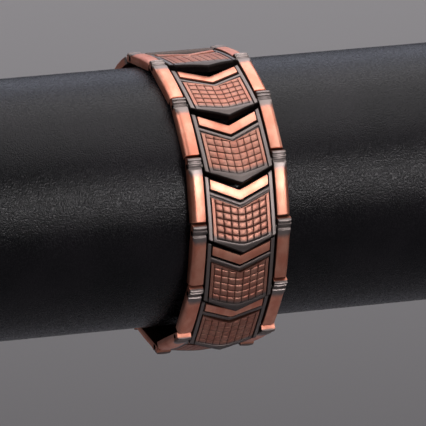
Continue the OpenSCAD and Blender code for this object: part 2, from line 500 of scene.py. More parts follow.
def rim_of_grid(rows: int, cols: int) -> list[int]:
    """Numbers a grid's outer points, in order round it.

    Args:
        rows: Count of the grid's rows.
        cols: Count of points in a row.

    Returns:
        The points' numbers.
    """
    ring = list(range(cols)) + [r * cols + cols - 1 for r in range(1, rows)]
    ring += [(rows - 1) * cols + c for c in range(cols - 2, -1, -1)]
    return ring + [r * cols for r in range(rows - 2, 0, -1)]


def slab(name: str, top: np.ndarray, foot_height: float) -> bpy.types.Mesh:
    """Closes a grid of top points with walls and a flat foot.

    Args:
        name: The mesh's name.
        top: Points of the top, as rows of a grid, an odd count of points in each row.
        foot_height: Height of the foot.

    Returns:
        A closed mesh. Its foot is two faces that meet along the middle.
    """
    rows, cols = top.shape[:2]
    points = top.reshape(-1, 3)
    faces = [(r * cols + c, r * cols + c + 1, (r + 1) * cols + c + 1, (r + 1) * cols + c)
             for r in range(rows - 1) for c in range(cols - 1)]
    above = rim_of_grid(rows, cols)
    rim = points[above]
    verts = [points]
    for share in WALL_SHARES:
        ring = rim.copy()
        ring[:, 2] += share * (foot_height - ring[:, 2])
        first = sum(len(part) for part in verts)
        verts.append(ring)
        below = list(range(first, first + len(ring)))
        faces += [(above[i - 1], above[i], below[i], below[i - 1]) for i in range(len(ring))]
        above = below
    middle = cols // 2
    far = 2 * (cols - 1) + (rows - 1) - middle
    faces += [tuple(above[middle:far + 1]), tuple(above[:middle + 1] + above[far:])]
    return mesh_from(name, np.concatenate(verts), faces)


def shade_smooth(mesh: bpy.types.Mesh, crease: float) -> None:
    """Shades a mesh smooth, apart from the edges that turn by more than the crease angle."""
    mesh.polygons.foreach_set("use_smooth", [True] * len(mesh.polygons))
    mesh.set_sharp_from_angle(angle=crease)


def as_object(name: str, mesh: bpy.types.Mesh) -> bpy.types.Object:
    """Puts a mesh into the scene.

    Args:
        name: The object's name.
        mesh: Its mesh.

    Returns:
        The object.
    """
    made = bpy.data.objects.new(name, mesh)
    bpy.context.scene.collection.objects.link(made)
    return made


def rod(name: str, start: Vector, end: Vector, radius: float, sides: int = 48) -> bpy.types.Object:
    """Makes a closed round rod between two points.

    Args:
        name: The rod's name.
        start: Centre of one end.
        end: Centre of the other.
        radius: Its radius.
        sides: Count of its flats.

    Returns:
        The rod.
    """
    work = bmesh.new()
    bmesh.ops.create_cone(work, cap_ends=True, segments=sides, radius1=radius, radius2=radius,
                          depth=(end - start).length)
    mesh = bpy.data.meshes.new(name)
    work.to_mesh(mesh)
    work.free()
    turn = (end - start).to_track_quat("Z", "Y").to_matrix().to_4x4()
    mesh.transform(Matrix.Translation((start + end) / 2) @ turn)
    return as_object(name, mesh)


def combine(base: bpy.types.Object, others: list[bpy.types.Object], join: Join) -> None:
    """Adds solids to a base, or cuts them from it, and removes them.

    Args:
        base: The solid that changes.
        others: The solids to add or cut.
        join: Whether they are added or cut.
    """
    for other in others:
        tool = base.modifiers.new("combine", "BOOLEAN")
        tool.operation = join.value
        tool.solver = "EXACT"
        tool.object = other
        graph = bpy.context.evaluated_depsgraph_get()
        result = bpy.data.meshes.new_from_object(base.evaluated_get(graph))
        base.modifiers.clear()
        base.data = result
        bpy.data.objects.remove(other)


def write_attribute(mesh: bpy.types.Mesh, name: str, values: np.ndarray) -> None:
    """Stores a value or a vector on every vertex of a mesh.

    Args:
        mesh: The mesh.
        name: The attribute's name.
        values: A value or a row of three for each vertex.
    """
    kind = "FLOAT_VECTOR" if values.ndim == 2 else "FLOAT"
    attribute = mesh.attributes.new(name, kind, "POINT")
    attribute.data.foreach_set("vector" if values.ndim == 2 else "value",
                               values.astype(np.float32).ravel())


def vertex_places(mesh: bpy.types.Mesh) -> np.ndarray:
    """Returns the places of a mesh's vertices.

    Args:
        mesh: The mesh.

    Returns:
        A row of three for each vertex.
    """
    places = np.empty(len(mesh.vertices) * 3, np.float32)
    mesh.vertices.foreach_get("co", places)
    return places.reshape(-1, 3).astype(float)


# The bracelet and the roll


@dataclass(frozen=True)
class Band:
    """Sizes that the plate, the side bars and the clasp share."""

    pitch: float = 15.0 * MM
    width: float = 23.6 * MM
    bar_width: float = 3.3 * MM
    side_gap: float = 0.4 * MM
    knuckle: float = 1.95 * MM
    joint_gap: float = 0.4 * MM
    back: float = -0.9 * MM
    bore_radius: float = 0.55 * MM

    @property
    def half(self) -> float:
        """Half the band's width."""
        return self.width / 2

    @property
    def bar_inside(self) -> float:
        """From the middle to the inner face of a side bar."""
        return self.half - self.bar_width

    @property
    def plate_half(self) -> float:
        """Half the width of the plate."""
        return self.bar_inside - self.side_gap

    @property
    def bar_end(self) -> float:
        """From the pin to the lower end of a side bar."""
        return self.pitch - self.knuckle - self.joint_gap


@dataclass(frozen=True)
class PlateStainAndShade:
    """Where the plate is rubbed, blackened or painted with shade, and how much. A run is the length of a
    soft edge.
    """

    pad_rubbed: float = 0.62
    rubbed_to: float = 1.5 * MM
    rubbed_run: float = 1.6 * MM
    fade_from: float = 0.7 * MM
    fade_run: float = 0.9 * MM
    # The low floor's black and painted shade reach floor_black_and_shade_height above it, and
    # pad_groove_lighter thins them in the pad's gutter.
    floor_black_and_shade_height: float = 0.22 * MM
    floor_run: float = 0.2 * MM
    pad_groove_lighter: float = 0.45
    # cut is black in the waffle's grooves, with painted shade on the pillows' falling sides.
    cut: float = 0.8
    cut_depth: float = 0.05 * MM
    cut_run: float = 0.1 * MM
    # deep is painted shade on the walls below the floor, and front is painted shade on the tongue's front
    # face.
    deep: float = 0.05 * MM
    deep_run: float = 0.15 * MM
    end: float = 0.5
    end_run: float = 0.5 * MM
    front: float = 0.9
    front_depth: float = 0.4 * MM
    front_run: float = 0.25 * MM
    film: float = 0.2
    pad_film: float = 0.12


@dataclass(frozen=True)
class Plate:
    """The centre plate: rails, chevron, V ridge, waffle pad and tongue.

    Two kinds of line run across it. The V lines are sharp, and u is where a V line crosses
    the middle. The rows of the waffle are flatter, softer Vs, and w is where one crosses it.
    """

    size: Band = field(default_factory=Band)
    stains_and_shade: PlateStainAndShade = field(default_factory=PlateStainAndShade)
    vee: float = math.radians(23.5)
    vee_round: float = 0.12 * MM
    row_slope: float = 0.313
    row_round: float = 1.5 * MM
    reach: float = 5.35 * MM
    lap_gap: float = 0.4 * MM
    rim: float = 0.3 * MM
    chevron: float = 2.3 * MM
    vee_groove: float = 0.5 * MM
    ridge: float = 0.95 * MM
    pad_groove: float = 0.35 * MM
    end_zone: float = 1.85 * MM
    rail: float = 0.95 * MM
    rail_groove: float = 0.2 * MM
    border: float = 0.85 * MM
    columns: int = 7
    rows: int = 5
    pad_foot: float = 0.3 * MM
    floor: float = 0.75 * MM
    rail_height: float = 1.1 * MM
    ridge_crown: float = 0.17 * MM
    ridge_softness: float = 1.8
    chevron_height: float = 1.3 * MM
    chevron_crown: float = 0.07 * MM
    pad_height: float = 1.42 * MM
    pad_fall: float = 0.35 * MM
    end_height: float = 1.0 * MM
    end_drop: float = 0.05 * MM
    lip_from: float = 0.1 * MM
    cell_groove: float = 0.16 * MM
    cell_groove_run: float = 0.1 * MM
    cells_from: float = 0.2 * MM
    cell_crown: float = 0.065 * MM
    crown_across: float = 0.3
    wall: float = 0.09 * MM
    edge: float = 0.2 * MM
    arch_radius: float = 110 * MM
    step: float = 0.32 * MM
    fan_start: float = 0.12 * MM
    fan_run: float = 0.12 * MM
    fan_lines: int = 9

    @property
    def notch(self) -> float:
        """Place of the notch's tip along the link."""
        return self.reach + self.lap_gap

    @property
    def tip(self) -> float:
        """Place of the tongue's tip along the link."""
        return self.size.pitch + self.reach

    @property
    def chevron_from(self) -> float:
        """Upper edge of the chevron."""
        return self.notch + self.rim

    @property
    def ridge_from(self) -> float:
        """Upper edge of the V ridge."""
        return self.chevron_from + self.chevron + self.vee_groove

    @property
    def pad_from(self) -> float:
        """Upper edge of the pad."""
        return self.ridge_from + self.ridge + self.pad_groove

    @property
    def pad_to(self) -> float:
        """Lower edge of the pad, a row line."""
        return self.tip - self.end_zone

    @property
    def pad_half(self) -> float:
        """Half the width of the pad and of the chevron."""
        return self.size.plate_half - self.rail - self.rail_groove

    @property
    def cell_width(self) -> float:
        """Width of a waffle cell."""
        return 2 * (self.pad_half - self.border) / self.columns

    @property
    def cell_length(self) -> float:
        """Length of a waffle cell."""
        return (self.pad_to - self.pad_foot - self.pad_from) / self.rows

    def column_lines(self) -> np.ndarray:
        """Places of the grooves between the columns."""
        return (np.arange(self.columns + 1) - self.columns / 2) * self.cell_width

    def row_lines(self) -> np.ndarray:
        """Places of the grooves above the first row and below each row."""
        return self.pad_to - self.pad_foot - np.arange(self.rows, -1, -1) * self.cell_length

    def dome(self, x: np.ndarray) -> np.ndarray:
        """Height of the pad's dome at x."""
        return self.pad_height - self.pad_fall * (x / self.pad_half) ** 2

    def vee_fall(self, x: np.ndarray) -> np.ndarray:
        """How far a V line has fallen back at x."""
        return math.tan(self.vee) * (np.sqrt(x * x + self.vee_round**2) - self.vee_round)

    def row_fall(self, x: np.ndarray) -> np.ndarray:
        """How far a row line has fallen back at x."""
        return self.row_slope * (np.sqrt(x * x + self.row_round**2) - self.row_round)

    def height(self, x: np.ndarray, y: np.ndarray) -> np.ndarray:
        """Height of the relief.

        Args:
            x: Places across the plate.
            y: Places along it.

        Returns:
            Heights above the pins.
        """
        far, wall = np.abs(x), self.wall
        u, w = y + self.vee_fall(x), y + self.row_fall(x)
        inner = smooth((self.pad_half - far) / wall)
        z = np.full_like(far, self.floor)
        rail = smooth((far - self.size.plate_half + self.rail) / wall)
        z += rail * (self.rail_height - self.floor)
        across = (u - self.chevron_from) / self.chevron * 2 - 1
        chevron = band(u, self.chevron_from, self.chevron_from + self.chevron, wall) * inner
        z += chevron * (self.chevron_height - self.floor - self.chevron_crown * across**2)
        over = (u - self.ridge_from) / self.ridge * 2 - 1
        ridge = band(u, self.ridge_from, self.ridge_from + self.ridge, self.ridge_softness * wall)
        z += ridge * (1 - rail) * (self.rail_height - self.floor - self.ridge_crown * over**2)
        on_pad = smooth((u - self.pad_from) / wall) * inner
        z += on_pad * (self.pad_surface(x, u, w) - self.floor)
        lip = smooth((w - self.pad_to - self.lip_from) / (3 * wall))
        lip *= smooth((far - self.pad_half) / wall)
        z += lip * np.maximum(self.end_height - z, 0.0)
        middle = (self.notch + self.tip) / 2
        return z - (u - middle) ** 2 / (2 * self.arch_radius)

    def pad_surface(self, x: np.ndarray, u: np.ndarray, w: np.ndarray) -> np.ndarray:
        """Height of the pad with its pillowed cells, and of the smooth zone below it.

        Args:
            x: Places across the plate.
            u: V lines through the places.
            w: Row lines through the places.

        Returns:
            Heights above the pins.
        """
        dome = self.dome(x)
        ramp = smooth((w - self.pad_to + self.pad_foot) / (self.end_zone + self.pad_foot))
        return dome + (self.end_height - self.end_drop - dome) * ramp - self.cell_depth(x, u, w)

    def cell_depth(self, x: np.ndarray, u: np.ndarray, w: np.ndarray) -> np.ndarray:
        """Depth of the waffle's grooves and of the pillows' falling sides.

        Args:
            x: Places across the plate.
            u: V lines through the places.
            w: Row lines through the places.

        Returns:
            Depths below the dome.
        """
        columns, rows = self.column_lines(), self.row_lines()
        near_x = np.min(np.abs(x[..., None] - columns), axis=-1)
        near_w = np.min(np.abs(w[..., None] - rows), axis=-1)
        run = self.cell_groove_run
        below_top = smooth((u - self.pad_from - self.cells_from) / self.cells_from)
        on_columns = smooth((rows[-1] + run - w) / run) * below_top
        on_rows = smooth((columns[-1] + run - np.abs(x)) / run) * below_top
        grooves = np.maximum(np.exp(-((near_x / run) ** 2)) * on_columns,
                             np.exp(-((near_w / run) ** 2)) * on_rows)
        pillow = self.crown_across * (1 - np.minimum(near_x / (self.cell_width / 2), 1)) ** 2
        pillow += (1 - np.minimum(near_w / (self.cell_length / 2), 1)) ** 2
        return self.cell_groove * grooves + self.cell_crown * pillow * on_columns * on_rows

    def grid_lines(self) -> tuple[np.ndarray, np.ndarray]:
        """Places the grid's lines, close together where the surface turns.

        Returns:
            The lines' places across the plate, and along its middle.
        """
        half, wall, cell = self.size.plate_half, self.wall, self.cell_groove_run
        x_stops = [(x, cell) for x in self.column_lines()]
        for side in (-1, 1):
            x_stops += [(side * (self.pad_half - wall / 2), wall),
                        (side * (half - self.rail + wall / 2), wall),
                        (side * (half - self.edge / 2), self.edge)]
        v_stops = [(v, cell) for v in self.row_lines() if v > self.pad_from + 2 * self.cells_from]
        for v in (self.chevron_from, self.ridge_from, self.pad_from):
            v_stops.append((v + wall / 2, wall))
        v_stops += [(self.chevron_from + self.chevron - wall / 2, wall),
                    (self.ridge_from + self.ridge - wall / 2, wall),
                    (self.notch + self.edge / 2, self.edge), (self.tip - self.edge / 2, self.edge)]
        xs = with_middle(samples(-half, half, self.step, x_stops))
        vs = samples(self.notch, self.tip, self.step, v_stops)
        fan_from, fan_to = self.fan()
        vs = vs[(vs < fan_from) | (vs > fan_to)]
        return xs, np.sort(np.append(vs, np.linspace(fan_from, fan_to, self.fan_lines)))

    def fan(self) -> tuple[float, float]:
        """Where the grid's lines turn from V lines to row lines."""
        start = self.pad_from + self.fan_start
        return start, start + self.fan_run

    def build(self) -> bpy.types.Object:
        """Makes the plate as a closed solid.

        Returns:
            The plate, with walls down to the flat back.
        """
        xs, vs = self.grid_lines()
        x, v = np.meshgrid(xs, vs)
        fan_from, fan_to = self.fan()
        rows = np.clip((v - fan_from) / (fan_to - fan_from), 0, 1)
        rows *= 1 - np.clip((v - self.pad_to) / (self.tip - self.edge - self.pad_to), 0, 1)
        y = v - rows * self.row_fall(x) - (1 - rows) * self.vee_fall(x)
        z = self.height(x, y)
        u = y + self.vee_fall(x)
        inside = np.minimum(self.size.plate_half - np.abs(x),
                            np.minimum(u - self.notch, self.tip - u))
        z -= rounded_edge(np.maximum(inside, 0), self.edge)
        return as_object("plate", slab("plate", np.stack([x, y, z], axis=-1), self.size.back))

    def stain_and_shade(self, places: np.ndarray) -> tuple[np.ndarray, np.ndarray]:
        """Works out where the plate is grey, where it is black and where shade is painted on it.

        Args:
            places: Vertex places in the link's frame.

        Returns:
            The amounts of patina and of black with painted shade.
        """
        x, y, z = places.T
        u, w = y + self.vee_fall(x), y + self.row_fall(x)
        z = z + (u - (self.notch + self.tip) / 2) ** 2 / (2 * self.arch_radius)
        far, wall, marks = np.abs(x), self.wall, self.stains_and_shade
        inner = smooth((self.pad_half + wall - far) / wall)
        on_pad = inner * smooth((u - self.pad_from + wall) / wall)
        on_chevron = inner * band(u, self.chevron_from - wall,
                                  self.chevron_from + self.chevron + wall, wall)
        fade = smooth((w - self.pad_to + marks.fade_from) / marks.fade_run)
        rubbed = marks.pad_rubbed * (1 - smooth((w - self.pad_to + marks.rubbed_to) / marks.rubbed_run))
        patina = 1.0 - np.clip(on_chevron + on_pad * rubbed, 0, 1)
        # Black and painted shade on the low floor: the gutters and the rail grooves.
        low = smooth((self.floor + marks.floor_black_and_shade_height - z) / marks.floor_run)
        low *= 1 - marks.pad_groove_lighter * band(u, self.pad_from - self.pad_groove - wall,
                                                  self.pad_from + wall, wall)
        # Black in the waffle's grooves, and painted shade on the pillows' falling sides.
        cut = marks.cut * smooth((self.dome(x) - z - marks.cut_depth) / marks.cut_run) * (1 - fade)
        black_and_shade = np.where(on_pad > 0.5, np.maximum(cut, low * (1 - fade)), low)
        # Painted shade on the walls below the floor.
        deep = smooth((self.floor - marks.deep - z) / marks.deep_run)
        end = marks.end * smooth((w - self.pad_to) / marks.end_run)
        # Painted shade on the tongue's front face.
        front = marks.front * smooth((u - self.tip + marks.front_depth) / marks.front_run)
        film = marks.film * (1 - on_chevron) + marks.pad_film * on_pad
        return patina, np.maximum.reduce([black_and_shade, deep, end, front, film])


@dataclass(frozen=True)
class BarStainAndShade:
    """Where a side bar is grey, or darkened with painted shade, and how much. A run is the length of a soft
    edge.
    """

    grey_from: float = 0.7 * MM
    grey_to: float = 3.6 * MM
    grey_depth: float = 0.6 * MM
    grey_run: float = 0.4 * MM
    top_depth: float = 0.85 * MM
    top_run: float = 0.25 * MM
    # dip is black and painted shade in the dips between the knuckle's ridges.
    dip: float = 0.4
    dip_height: float = 0.03 * MM
    dip_run: float = 0.12 * MM
    dip_past: float = 0.2 * MM
    # wall, under and hole_radius are painted shade on the inner wall, the lower end face, the underside and
    # round the pin hole.
    wall: float = 0.85
    wall_run: float = 0.1 * MM
    inside_depth: float = 0.12 * MM
    end_depth: float = 0.02 * MM
    end_fall: float = 0.45 * MM
    under: float = 0.35
    under_from: float = 0.3 * MM
    under_run: float = 0.8 * MM
    hole_radius: float = 0.75 * MM


@dataclass(frozen=True)
class SideBar:
    """A side bar: a ridged knuckle, a groove and a long face, crowned and a little arched."""

    size: Band = field(default_factory=Band)
    stains_and_shade: BarStainAndShade = field(default_factory=BarStainAndShade)
    crown_radius: float = 8.5 * MM
    arch_radius: float = 75 * MM
    height: float = 1.45 * MM
    knuckle_height: float = 0.92 * MM
    step_at: float = 0.5 * MM
    step_run: float = 0.14 * MM
    ridges: tuple[float, float] = (-1.5 * MM, -0.7 * MM)
    ridge_radius: float = 0.26 * MM
    groove: float = 0.12 * MM
    groove_back: float = 0.28 * MM
    groove_run: float = 0.2 * MM
    outer_edge: float = 1.0 * MM
    inner_edge: float = 0.16 * MM
    end_edge: float = 0.16 * MM
    lines_across: float = 0.2 * MM
    lines_along: float = 0.35 * MM
    ridge_lines: float = 1.1
    step_lines: tuple[float, float] = (0.05 * MM, 0.12 * MM)
    groove_lines: float = 0.25 * MM

    def profile(self, y: np.ndarray) -> np.ndarray:
        """Height of the bar's middle along the link.

        Args:
            y: Places along the link.

        Returns:
            Heights above the pins.
        """
        middle = (self.step_at + self.size.bar_end) / 2
        face = self.height - (y - middle) ** 2 / (2 * self.arch_radius)
        step = smooth((y - self.step_at) / self.step_run)
        z = self.knuckle_height + step * (face - self.knuckle_height)
        for centre in self.ridges:
            round_up = np.sqrt(np.clip(self.ridge_radius**2 - (y - centre) ** 2, 0, None))
            z = np.maximum(z, self.knuckle_height + round_up)
        valley = np.exp(-(((y - self.step_at + self.groove_back) / self.groove_run) ** 2))
        return z - self.groove * valley

    def build(self, side: Side) -> bpy.types.Object:
        """Makes one bar as a closed solid.

        Args:
            side: The side of the band it stands on.

        Returns:
            The bar.
        """
        half, end_edge = self.size.bar_width / 2, self.end_edge
        start, end = -self.size.knuckle, self.size.bar_end
        step_past, step_run = self.step_lines
        stops = [(c, self.ridge_lines * self.ridge_radius) for c in self.ridges]
        stops += [(self.step_at + step_past, step_run),
                  (self.step_at - self.groove_back, self.groove_lines),
                  (start + end_edge / 2, end_edge), (end - end_edge / 2, end_edge)]
        turns = [(s * (half - run / 2), run) for s in (-1, 1)
                 for run in (self.outer_edge / 2, self.inner_edge)]
        xs = with_middle(samples(-half, half, self.lines_across, turns))
        ys = samples(start, end, self.lines_along, stops)
        x, y = np.meshgrid(xs, ys)
        z = self.profile(y) - x * x / (2 * self.crown_radius)
        outward = side.value * x
        softened = self.inner_edge + (self.outer_edge - self.inner_edge) * smooth(
            (y - self.step_at) / self.size.knuckle)
        z -= rounded_edge(half - outward, softened) + rounded_edge(half + outward, self.inner_edge)
        z -= rounded_edge(np.minimum(y - start, end - y), end_edge)
        middle = side.value * (self.size.half - half)
        top = np.stack([x + middle, y, z], axis=-1)
        return as_object("bar", slab("bar", top, self.size.back))

    def stain_and_shade(self, places: np.ndarray) -> tuple[np.ndarray, np.ndarray]:
        """Works out where a bar is grey and where shade is painted on it.

        Args:
            places: Vertex places in the link's frame.

        Returns:
            The amounts of patina and of painted shade.
        """
        x, y, z = places.T
        marks = self.stains_and_shade
        on_top = smooth((z - self.profile(y) + marks.top_depth) / marks.top_run)
        upper = smooth((z - self.profile(y) + marks.grey_depth) / marks.grey_run)
        patina = (1 - smooth((y - marks.grey_from) / (marks.grey_to - marks.grey_from))) * upper
        # Black and painted shade in the dips between the knuckle's ridges.
        dip = smooth((self.knuckle_height + marks.dip_height - z) / marks.dip_run) * on_top
        dip *= smooth((self.step_at + marks.dip_past - y) / marks.wall_run)
        # Painted shade on the inner wall, the lower end face, the underside and round the pin hole.
        inner = smooth((self.size.bar_inside + marks.inside_depth - np.abs(x)) / marks.wall_run)
        end = smooth((y - self.size.bar_end + marks.end_depth) / marks.end_depth)
        end *= smooth((self.height - marks.end_fall - z) / marks.wall_run)
        under = smooth((marks.under_from - z) / marks.under_run)
        hole = smooth((marks.hole_radius - np.hypot(y, z)) / marks.dip_run)
        black_and_shade = np.maximum.reduce([marks.dip * dip, marks.wall * inner, marks.wall * end,
                                  marks.under * under, hole * (1 - on_top)])
        return patina, black_and_shade


@dataclass(frozen=True)
class LinkCasting:
    """One link, made once and copied."""

    size: Band = field(default_factory=Band)
    web_length: float = 8.6 * MM
    web_top: float = -0.2 * MM
    web_from_end: float = 0.9 * MM
    web_overlap: float = 0.15 * MM
    web_lift: float = 0.05 * MM
    magnet_radius: float = 3.06 * MM
    magnet_depth: float = 0.86 * MM

    def web(self, side: Side) -> bpy.types.Object:
        """Makes the web that joins the plate to one bar.

        Args:
            side: The side of the band it stands on.

        Returns:
            The web.
        """
        inside = self.size.plate_half - self.web_overlap
        xs = np.linspace(inside, self.size.half - self.size.bar_width / 2, 3)
        ys = np.array([-self.web_length, 0.0]) + self.size.bar_end - self.web_from_end
        x, y = np.meshgrid(np.sort(side.value * xs), ys)
        top = np.stack([x, y, np.full_like(x, self.web_top)], axis=-1)
        return as_object("web", slab("web", top, self.size.back + self.web_lift))

    def build(self) -> bpy.types.Mesh:
        """Makes the casting as one closed mesh with its stains and painted shade.

        Returns:
            The mesh, in the link's own frame.
        """
        plate, bar = Plate(self.size), SideBar(self.size)
        body = plate.build()
        parts = [bar.build(side) for side in Side] + [self.web(side) for side in Side]
        combine(body, parts, Join.ADD)
        out = self.size.half + CUTTER_CLEAR
        bores = [rod("bore", Vector((-out, y, 0)), Vector((out, y, 0)), self.size.bore_radius)
                 for y in (0.0, self.size.pitch)]
        centre = (plate.ridge_from + plate.pad_from) / 2
        seat = rod("seat", Vector((0, centre, self.size.back - CUTTER_CLEAR)),
                   Vector((0, centre, self.size.back + self.magnet_depth)), self.magnet_radius)
        combine(body, bores + [seat], Join.CUT)
        mesh = body.data
        bpy.data.objects.remove(body)
        places = vertex_places(mesh)
        on_bar = np.abs(places[:, 0]) > self.size.bar_inside - 0.5 * self.size.side_gap
        stains_and_shade = [np.where(on_bar, b, p) for b, p in zip(bar.stain_and_shade(places), plate.stain_and_shade(places))]
        write_attribute(mesh, "patina", stains_and_shade[0])
        write_attribute(mesh, "black_and_shade", stains_and_shade[1])
        shade_smooth(mesh, CREASE)
        return mesh


@dataclass(frozen=True)
class Chain:
    """The row of links, laid from pin to pin as the frame has them.

    The textures move on by texture_step from link to link, so that no two links look alike.
    """

    size: Band = field(default_factory=Band)
    texture_step: tuple[float, float, float] = (17.3, 29.1, 11.7)

    def pin_place(self, number: int) -> Vector:
        """Centre of a hinge pin in the frame."""
        low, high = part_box(f"pin_{number:02d}")
        return (low + high) / 2

    def seat(self, start: int, end: int) -> Matrix:
        """Where a link's own frame lies.

        Args:
            start: Number of the pin at the link's upper end.
            end: Number of the pin at its lower end.

        Returns:
            The matrix from the link's frame to the row frame.
        """
        p, q = self.pin_place(start), self.pin_place(end)
        along = (q - p).normalized()
        across = Vector((-1, 0, 0))
        turn = Matrix((across, along, across.cross(along))).transposed().to_4x4()
        return Matrix.Translation(p) @ turn

    def build(self, material: bpy.types.Material) -> list[bpy.types.Object]:
        """Copies the casting to every link's place.

        Args:
            material: The links' finish.

        Returns:
            The links.
        """
        casting = LinkCasting(self.size).build()
        log.info("casting: %d vertices, %d faces", len(casting.vertices), len(casting.polygons))
        places = vertex_places(casting) / MM
        links = []
        for number in range(1, LINK_COUNT + 1):
            mesh = casting.copy()
            shift = np.array(self.texture_step) * number
            write_attribute(mesh, "local", places + shift)
            mesh.transform(self.seat(number, number + 1))
            mesh.materials.clear()
            mesh.materials.append(material)
            link = as_object(f"link_{number:02d}_casting", mesh)
            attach(link, "root")
            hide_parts(f"link_{number:02d}")
            links.append(link)
        return links


@dataclass(frozen=True)
class Clasp:
    """The plain clasp: a curved cover with lugs round the pins at both ends."""

    size: Band = field(default_factory=Band)
    height: float = 0.95 * MM
    cover_from: float = 7.4 * MM
    lug: float = 1.5 * MM
    edge: float = 0.3 * MM
    lines_across: float = 1.2 * MM
    lines_along: float = 0.6 * MM
    rim_patina: float = 0.8
    rim_width: float = 3 * MM
    # The lugs go at least lug_dark_and_shade toward near black, with painted shade deepening on their lower
    # faces.
    lug_dark_and_shade: float = 0.6
    lug_depth: float = 0.5 * MM

    def curved(self, x0: float, x1: float, y0: float, y1: float, centre: Vector,
               radius: float) -> bpy.types.Object:
        """Makes a curved block with rounded outer edges, in the clasp's own frame.

        Args:
            x0: Its left side.
            x1: Its right side.
            y0: Its near end along the band.
            y1: Its far end.
            centre: Centre of its curve.
            radius: Radius of its curve, at the height of the pins.

        Returns:
            The block, a closed solid.
        """
        half_edge = self.edge / 2
        xs, ys = (samples(low, high, step, [(low + half_edge, self.edge), (high - half_edge, self.edge)])
                  for low, high, step in ((x0, x1, self.lines_across), (y0, y1, self.lines_along)))
        x, y = np.meshgrid(xs, ys)
        inside = np.minimum(np.minimum(x - x0, x1 - x), np.minimum(y - y0, y1 - y))
        outer = radius + self.height - rounded_edge(inside, self.edge)
        inner = radius + self.size.back
        top = np.stack([x, y, centre.z + np.sqrt(outer**2 - (y - centre.y) ** 2)], axis=-1)
        foot = np.stack([x, y, centre.z + np.sqrt(inner**2 - (y - centre.y) ** 2)], axis=-1)
        rows, cols = x.shape
        count = rows * cols
        verts = np.concatenate([top.reshape(-1, 3), foot.reshape(-1, 3)])
        faces = []
        for r in range(rows - 1):
            for c in range(cols - 1):
                a = r * cols + c
                faces.append((a, a + 1, a + cols + 1, a + cols))
                faces.append((count + a, count + a + cols, count + a + cols + 1, count + a + 1))
        ring = rim_of_grid(rows, cols)
        for a, b in zip(ring, ring[1:] + ring[:1]):
            faces.append((a, b, count + b, count + a))
        return as_object("clasp_piece", mesh_from("clasp_piece", verts, faces))

    def build(self, chain: Chain, material: bpy.types.Material) -> bpy.types.Object:
        """Makes the clasp between the last pin and the first.

        Args:
            chain: The chain, which knows the pins' places.
            material: The clasp's finish.

        Returns:
            The clasp.
        """
        last = LINK_COUNT + 1
        length = (chain.pin_place(last) - chain.pin_place(1)).length
        radius = chain.pin_place(last).yz.length
        centre = Vector((0, length / 2, -math.sqrt(radius**2 - length**2 / 4)))
        size, end = self.size, length - self.size.knuckle - self.size.joint_gap
        body = self.curved(-size.half, size.half, self.cover_from, end, centre, radius)
        overlap = self.edge * 2
        lugs = [self.curved(x, x + size.bar_width, -self.lug, self.cover_from + overlap, centre, radius)
                for x in (-size.half, size.bar_inside)]
        lugs.append(self.curved(-size.plate_half, size.plate_half, end - overlap,
                                length + self.lug, centre, radius))
        combine(body, lugs, Join.ADD)
        out = size.half + CUTTER_CLEAR
        bores = [rod("bore", Vector((-out, y, 0)), Vector((out, y, 0)), size.bore_radius)
                 for y in (0.0, length)]
        combine(body, bores, Join.CUT)
        mesh = body.data
        places = vertex_places(mesh)
        write_attribute(mesh, "local", places / MM)
        ends = np.minimum(places[:, 1] - self.cover_from, end - places[:, 1])
        patina = self.rim_patina - self.rim_patina * smooth(ends / self.rim_width)
        write_attribute(mesh, "patina", patina)
        # Painted shade on the lugs' lower faces, over a darker tone on the whole lug.
        low = self.lug_depth + radius - np.hypot(places[:, 1] - centre.y, places[:, 2] - centre.z)
        lug_dark_and_shade = np.maximum(smooth(low / self.lug_depth), self.lug_dark_and_shade)
        write_attribute(mesh, "black_and_shade", np.where(ends < 0, lug_dark_and_shade, 0.0))
        mesh.transform(chain.seat(last, 1))
        shade_smooth(mesh, CREASE)
        mesh.materials.clear()
        mesh.materials.append(material)
        body.name = "clasp_cover"
        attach(body, "root")
        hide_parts("clasp")
        return body


